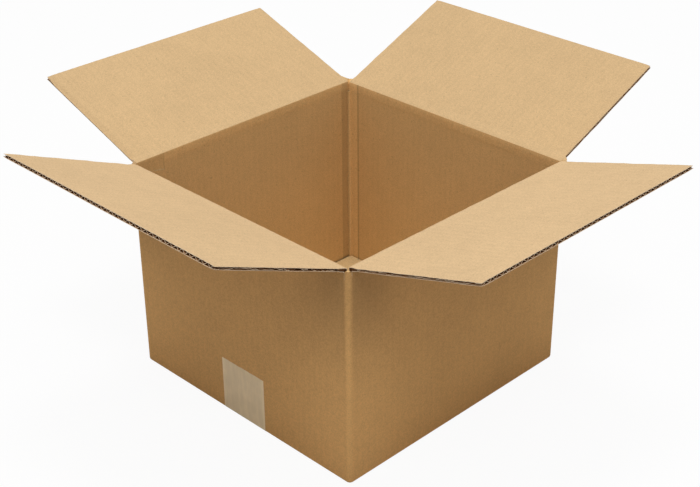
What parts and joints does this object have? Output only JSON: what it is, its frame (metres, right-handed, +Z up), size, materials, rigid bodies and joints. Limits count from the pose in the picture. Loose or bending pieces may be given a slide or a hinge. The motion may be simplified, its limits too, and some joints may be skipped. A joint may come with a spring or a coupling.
{
  "type": "open cardboard box",
  "caption": "Square single-wall corrugated shipping box with its bottom taped shut and its top flaps standing open on their score lines.",
  "frame": {"origin": "centre of the box's base, on the floor that it stands on", "axes": "+Z up; the front wall, where the end of the tape shows, faces -Y; the right wall, which carries an outer flap, faces +X"},
  "size_m": [0.4845, 0.4829, 0.2387],
  "materials": {
    "kraft_board": "matt",
    "packing_tape": "satin film"
  },
  "bodies": {
    "box": {"carton": "kraft_board", "bottom_tape": "packing_tape"},
    "front": {"front_flap": "kraft_board"},
    "back": {"back_flap": "kraft_board"},
    "right": {"right_flap": "kraft_board"},
    "left": {"left_flap": "kraft_board"}
  },
  "joints": [
    {"name": "front_flap_fold", "type": "hinge", "parent": "box", "child": "front", "pos_m": [0, -0.1269, 0.1853], "axis": [-1, 0, 0], "range_deg": [-113, 157]},
    {"name": "back_flap_fold", "type": "hinge", "parent": "box", "child": "back", "pos_m": [0, 0.1269, 0.1853], "axis": [1, 0, 0], "range_deg": [-112.5, 157.5]},
    {"name": "right_flap_fold", "type": "hinge", "parent": "box", "child": "right", "pos_m": [0.1252, 0, 0.187], "axis": [0, -1, 0], "range_deg": [-107, 163]},
    {"name": "left_flap_fold", "type": "hinge", "parent": "box", "child": "left", "pos_m": [-0.1252, 0, 0.187], "axis": [0, 1, 0], "range_deg": [-109.5, 160.5]}
  ]
}
